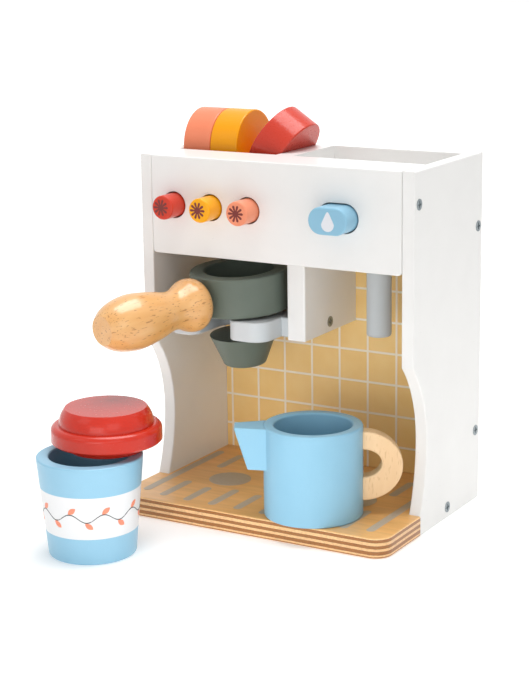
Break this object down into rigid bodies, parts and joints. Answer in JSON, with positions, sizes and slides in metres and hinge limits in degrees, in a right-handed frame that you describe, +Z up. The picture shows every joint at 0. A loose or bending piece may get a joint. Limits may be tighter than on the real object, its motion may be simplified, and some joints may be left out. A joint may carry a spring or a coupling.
{
  "type": "toy coffee maker",
  "caption": "Painted wooden play coffee machine with push buttons, pods in a top bin, a portafilter in a cradle, a steam wand, a jug and a lidded cup.",
  "frame": {"origin": "middle of the base board's underside, on the table", "axes": "+Z up, -Y toward the child at the front, +X to the right seen from the front"},
  "size_m": [0.2159, 0.2604, 0.2794],
  "materials": {
    "white_paint": "satin",
    "plywood": "satin lacquer",
    "tile_print_board": "satin printed",
    "grey_paint": "satin",
    "red_paint": "gloss",
    "yellow_paint": "gloss",
    "coral_paint": "gloss",
    "blue_paint": "satin",
    "bare_beech": "satin",
    "spring_steel": "plain",
    "dark_green_grey_paint": "satin",
    "lacquered_wood": "gloss",
    "zinc_screw": "dark zinc"
  },
  "bodies": {
    "root": {"base_board": "plywood", "left_side_panel": "white_paint", "right_side_panel": "white_paint", "back_board": "tile_print_board", "fascia_board": "white_paint", "top_rail": "white_paint", "spring_board": "white_paint", "bay_ceiling": "white_paint", "bin_floor": "white_paint", "bin_divider": "white_paint", "hanging_partition": "white_paint", "filter_cradle": "grey_paint", "steam_wand": "grey_paint", "left_side_screws": "zinc_screw", "right_side_screws": "zinc_screw", "cradle_screw": "zinc_screw", "partition_screws": "zinc_screw", "wand_screw": "zinc_screw", "red_button_spring": "spring_steel", "yellow_button_spring": "spring_steel", "coral_button_spring": "spring_steel", "water_button_spring": "spring_steel"},
    "red_button": {"red_button": "red_paint", "red_button_stem": "bare_beech"},
    "yellow_button": {"yellow_button": "yellow_paint", "yellow_button_stem": "bare_beech"},
    "coral_button": {"coral_button": "coral_paint", "coral_button_stem": "bare_beech"},
    "water_button": {"water_button": "blue_paint", "water_button_stem": "bare_beech"},
    "filter_neck": {"filter_neck": "dark_green_grey_paint"},
    "portafilter": {"filter_basket": "dark_green_grey_paint", "filter_nozzle": "dark_green_grey_paint", "filter_handle_dowel": "grey_paint", "filter_handle": "lacquered_wood"},
    "coral_pod": {"coral_pod": "coral_paint"},
    "yellow_pod": {"yellow_pod": "yellow_paint"},
    "red_pod": {"red_pod": "red_paint"},
    "cup": {"cup": "blue_paint"},
    "cup_lid": {"cup_lid": "red_paint"},
    "jug": {"jug_body": "blue_paint", "jug_spout": "blue_paint", "jug_handle": "bare_beech"}
  },
  "joints": [
    {"name": "red_button_push", "type": "slide", "parent": "root", "child": "red_button", "axis": [0, 1, 0], "range_m": [0, 0.006], "stiffness_N_per_m": 180, "deforming": ["red_button_spring"]},
    {"name": "yellow_button_push", "type": "slide", "parent": "root", "child": "yellow_button", "axis": [0, 1, 0], "range_m": [0, 0.006], "stiffness_N_per_m": 180, "deforming": ["yellow_button_spring"]},
    {"name": "coral_button_push", "type": "slide", "parent": "root", "child": "coral_button", "axis": [0, 1, 0], "range_m": [0, 0.006], "stiffness_N_per_m": 180, "deforming": ["coral_button_spring"]},
    {"name": "water_button_push", "type": "slide", "parent": "root", "child": "water_button", "axis": [0, 1, 0], "range_m": [0, 0.006], "stiffness_N_per_m": 220, "deforming": ["water_button_spring"]},
    {"name": "portafilter_slide", "type": "slide", "parent": "root", "child": "filter_neck", "axis": [0, -1, 0], "range_m": [0, 0.07]},
    {"name": "portafilter_swivel", "type": "hinge", "parent": "filter_neck", "child": "portafilter", "pos_m": [-0.0406, -0.0066, 0.1323], "axis": [-0.0189, -0.0635, 0.9978], "range_deg": [-8, 35]},
    {"name": "coral_pod_lift", "type": "slide", "parent": "root", "child": "coral_pod", "axis": [0, 0, 1], "range_m": [0, 0.06]},
    {"name": "yellow_pod_lift", "type": "slide", "parent": "root", "child": "yellow_pod", "axis": [0, 0, 1], "range_m": [0, 0.06]},
    {"name": "red_pod_lift", "type": "slide", "parent": "root", "child": "red_pod", "axis": [0, 0, 1], "range_m": [0, 0.06]},
    {"name": "jug_lift", "type": "slide", "parent": "root", "child": "jug", "axis": [0, 0, 1], "range_m": [0, 0.04]},
    {"name": "cup_lift", "type": "slide", "parent": "root", "child": "cup", "axis": [0, 0, 1], "range_m": [0, 0.012]},
    {"name": "lid_lift", "type": "slide", "parent": "cup", "child": "cup_lid", "axis": [0, 0, 1], "range_m": [0, 0.016]}
  ]
}
